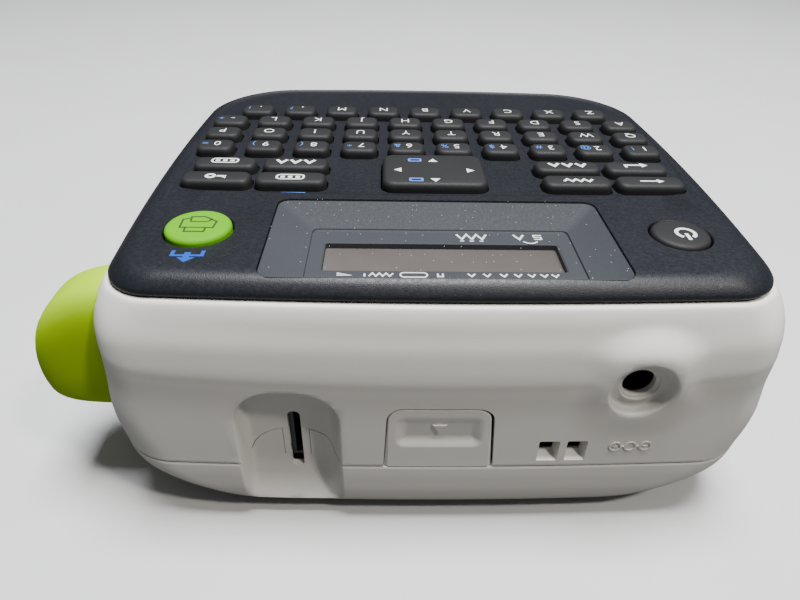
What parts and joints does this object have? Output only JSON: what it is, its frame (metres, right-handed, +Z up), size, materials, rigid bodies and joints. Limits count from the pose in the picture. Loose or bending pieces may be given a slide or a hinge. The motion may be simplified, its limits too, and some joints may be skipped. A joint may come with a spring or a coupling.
{
  "type": "label maker",
  "caption": "Hand-held thermal transfer label maker: keyboard and display panel on a rounded case, tape exit with side cutter button, latched back cover over the tape cassette and cells",
  "frame": {"origin": "middle of the flat underside, on the surface the label maker lies on", "axes": "+Z up out of the keys, +Y towards the end where the tape comes out, +X towards the side with the cutter button"},
  "size_m": [0.1253, 0.1041, 0.0515],
  "materials": {
    "white_plastic": "fine satin, moulded white",
    "charcoal_plastic": "fine matte texture, near black",
    "key_rubber": "soft matte silicone",
    "green_rubber": "soft matte silicone, green",
    "green_plastic": "satin moulded yellow green",
    "clear_plastic": "clear, glossy",
    "grey_plastic": "satin grey",
    "display_glass": "reflective liquid crystal glass with a grey backing",
    "black_plastic": "satin black",
    "circuit_board": "green solder mask",
    "steel": "bright zinc-plated or spring steel",
    "aluminium": "extruded",
    "gear_plastic": "natural acetal",
    "platen_rubber": "ground silicone rubber",
    "cassette_plastic": "light grey",
    "label_tape": "laminated white tape",
    "ribbon_film": "wound ink film",
    "cell_jacket": "printed sleeve, plain"
  },
  "bodies": {
    "case": {"battery_cell_1": "cell_jacket", "battery_cell_2": "cell_jacket", "battery_cell_3": "cell_jacket", "battery_cell_4": "cell_jacket", "battery_cell_5": "cell_jacket", "battery_cell_6": "cell_jacket", "battery_contacts_left": "steel", "battery_contacts_right": "steel", "battery_tray": "grey_plastic", "case_screw_1": "steel", "case_screw_2": "steel", "case_screw_3": "steel", "case_screw_4": "steel", "cassette_case": "cassette_plastic", "cassette_lid": "clear_plastic", "cutter_guide": "grey_plastic", "cutter_spring": "steel", "dc_jack": "black_plastic", "drive_motor": "steel", "front_panel": "charcoal_plastic", "key_dome_sheet": "key_rubber", "lcd_bezel": "grey_plastic", "lcd_module": "display_glass", "lcd_window": "clear_plastic", "main_circuit_board": "circuit_board", "main_housing": "white_plastic", "mechanism_plate": "steel", "platen_bracket": "steel", "print_head_heat_sink": "aluminium", "tape_lead": "label_tape", "thermal_print_head": "display_glass"},
    "cutter": {"cutter_button": "green_plastic", "cutter_plunger": "grey_plastic", "cutter_blade": "steel"},
    "cover": {"back_cover": "white_plastic"},
    "latch": {"cover_latch": "white_plastic"},
    "drive": {"drive_gear": "gear_plastic"},
    "motor_rotor": {"motor_pinion": "gear_plastic"},
    "idler": {"idler_gear": "gear_plastic"},
    "platen": {"platen_roller": "platen_rubber", "platen_shaft_gear": "gear_plastic"},
    "ribbon_take_up": {"ribbon_take_up_spindle": "gear_plastic", "ribbon_take_up_reel": "ribbon_film"},
    "tape_supply": {"tape_roll": "label_tape"},
    "ribbon_supply": {"ribbon_supply_spool": "ribbon_film"},
    "letter_keys_row_1_body": {"letter_keys_row_1": "key_rubber"},
    "letter_keys_row_2_body": {"letter_keys_row_2": "key_rubber"},
    "letter_keys_row_3_body": {"letter_keys_row_3": "key_rubber"},
    "letter_keys_row_4_body": {"letter_keys_row_4": "key_rubber"},
    "outer_front_key_right_body": {"outer_front_key_right": "key_rubber"},
    "inner_front_key_right_body": {"inner_front_key_right": "key_rubber"},
    "outer_rear_key_right_body": {"outer_rear_key_right": "key_rubber"},
    "inner_rear_key_right_body": {"inner_rear_key_right": "key_rubber"},
    "outer_front_key_left_body": {"outer_front_key_left": "key_rubber"},
    "inner_front_key_left_body": {"inner_front_key_left": "key_rubber"},
    "outer_rear_key_left_body": {"outer_rear_key_left": "key_rubber"},
    "inner_rear_key_left_body": {"inner_rear_key_left": "key_rubber"},
    "navigation_pad_body": {"navigation_pad": "key_rubber"},
    "print_button_body": {"print_button": "green_rubber"},
    "power_button_body": {"power_button": "key_rubber"}
  },
  "joints": [
    {"name": "letter_keys_row_1_press", "type": "slide", "parent": "case", "child": "letter_keys_row_1_body", "axis": [0, 0, -1], "range_m": [0, 0.0008], "stiffness_N_per_m": 800},
    {"name": "letter_keys_row_2_press", "type": "slide", "parent": "case", "child": "letter_keys_row_2_body", "axis": [0, 0, -1], "range_m": [0, 0.0008], "stiffness_N_per_m": 800},
    {"name": "letter_keys_row_3_press", "type": "slide", "parent": "case", "child": "letter_keys_row_3_body", "axis": [0, 0, -1], "range_m": [0, 0.0008], "stiffness_N_per_m": 800},
    {"name": "letter_keys_row_4_press", "type": "slide", "parent": "case", "child": "letter_keys_row_4_body", "axis": [0, 0, -1], "range_m": [0, 0.0008], "stiffness_N_per_m": 800},
    {"name": "outer_front_key_right_press", "type": "slide", "parent": "case", "child": "outer_front_key_right_body", "axis": [0, 0, -1], "range_m": [0, 0.0008], "stiffness_N_per_m": 800},
    {"name": "inner_front_key_right_press", "type": "slide", "parent": "case", "child": "inner_front_key_right_body", "axis": [0, 0, -1], "range_m": [0, 0.0008], "stiffness_N_per_m": 800},
    {"name": "outer_rear_key_right_press", "type": "slide", "parent": "case", "child": "outer_rear_key_right_body", "axis": [0, 0, -1], "range_m": [0, 0.0008], "stiffness_N_per_m": 800},
    {"name": "inner_rear_key_right_press", "type": "slide", "parent": "case", "child": "inner_rear_key_right_body", "axis": [0, 0, -1], "range_m": [0, 0.0008], "stiffness_N_per_m": 800},
    {"name": "outer_front_key_left_press", "type": "slide", "parent": "case", "child": "outer_front_key_left_body", "axis": [0, 0, -1], "range_m": [0, 0.0008], "stiffness_N_per_m": 800},
    {"name": "inner_front_key_left_press", "type": "slide", "parent": "case", "child": "inner_front_key_left_body", "axis": [0, 0, -1], "range_m": [0, 0.0008], "stiffness_N_per_m": 800},
    {"name": "outer_rear_key_left_press", "type": "slide", "parent": "case", "child": "outer_rear_key_left_body", "axis": [0, 0, -1], "range_m": [0, 0.0008], "stiffness_N_per_m": 800},
    {"name": "inner_rear_key_left_press", "type": "slide", "parent": "case", "child": "inner_rear_key_left_body", "axis": [0, 0, -1], "range_m": [0, 0.0008], "stiffness_N_per_m": 800},
    {"name": "navigation_pad_press", "type": "slide", "parent": "case", "child": "navigation_pad_body", "axis": [0, 0, -1], "range_m": [0, 0.0008], "stiffness_N_per_m": 800},
    {"name": "print_button_press", "type": "slide", "parent": "case", "child": "print_button_body", "axis": [0, 0, -1], "range_m": [0, 0.0008], "stiffness_N_per_m": 800},
    {"name": "power_button_press", "type": "slide", "parent": "case", "child": "power_button_body", "axis": [0, 0, -1], "range_m": [0, 0.0008], "stiffness_N_per_m": 800},
    {"name": "cutter_press", "type": "slide", "parent": "case", "child": "cutter", "axis": [-1, 0, 0], "range_m": [0, 0.0045], "stiffness_N_per_m": 300, "deforming": ["cutter_spring"]},
    {"name": "cover_hinge", "type": "hinge", "parent": "case", "child": "cover", "pos_m": [0, -0.0523, 0.0148], "axis": [-1, 0, 0], "range_deg": [0, 70]},
    {"name": "latch_flex", "type": "hinge", "parent": "cover", "child": "latch", "pos_m": [0, 0.051, 0.0148], "axis": [1, 0, 0], "range_deg": [0, 4], "stiffness_Nm_per_rad": 0.05},
    {"name": "drive_spin", "type": "hinge", "parent": "case", "child": "drive", "pos_m": [0.0315, -0.003, 0.0305], "axis": [0, 0, -1], "continuous": true},
    {"name": "motor_spin", "type": "hinge", "parent": "case", "child": "motor_rotor", "pos_m": [0.04663, 0.00251, 0.0305], "axis": [0, 0, -1], "continuous": true},
    {"name": "take_up_spin", "type": "hinge", "parent": "case", "child": "ribbon_take_up", "pos_m": [0.01868, 0.00673, 0.0305], "axis": [0, 0, -1], "continuous": true},
    {"name": "idler_spin", "type": "hinge", "parent": "case", "child": "idler", "pos_m": [0.03405, 0.01613, 0.0305], "axis": [0, 0, -1], "continuous": true},
    {"name": "platen_spin", "type": "hinge", "parent": "case", "child": "platen", "pos_m": [0.029, 0.028, 0.0305], "axis": [0, 0, -1], "continuous": true},
    {"name": "tape_roll_spin", "type": "hinge", "parent": "case", "child": "tape_supply", "pos_m": [-0.007, 0.016, 0.0305], "axis": [0, 0, -1], "continuous": true},
    {"name": "ribbon_supply_spin", "type": "hinge", "parent": "case", "child": "ribbon_supply", "pos_m": [0.0105, -0.002, 0.0305], "axis": [0, 0, -1], "continuous": true}
  ],
  "couplings": [
    {"joint": "motor_spin", "follows": "drive_spin", "ratio": -3},
    {"joint": "take_up_spin", "follows": "drive_spin", "ratio": -3},
    {"joint": "idler_spin", "follows": "drive_spin", "ratio": -1.6667},
    {"joint": "platen_spin", "follows": "drive_spin", "ratio": 2.1429},
    {"joint": "tape_roll_spin", "follows": "drive_spin", "ratio": -0.52},
    {"joint": "ribbon_supply_spin", "follows": "drive_spin", "ratio": -2.04}
  ]
}
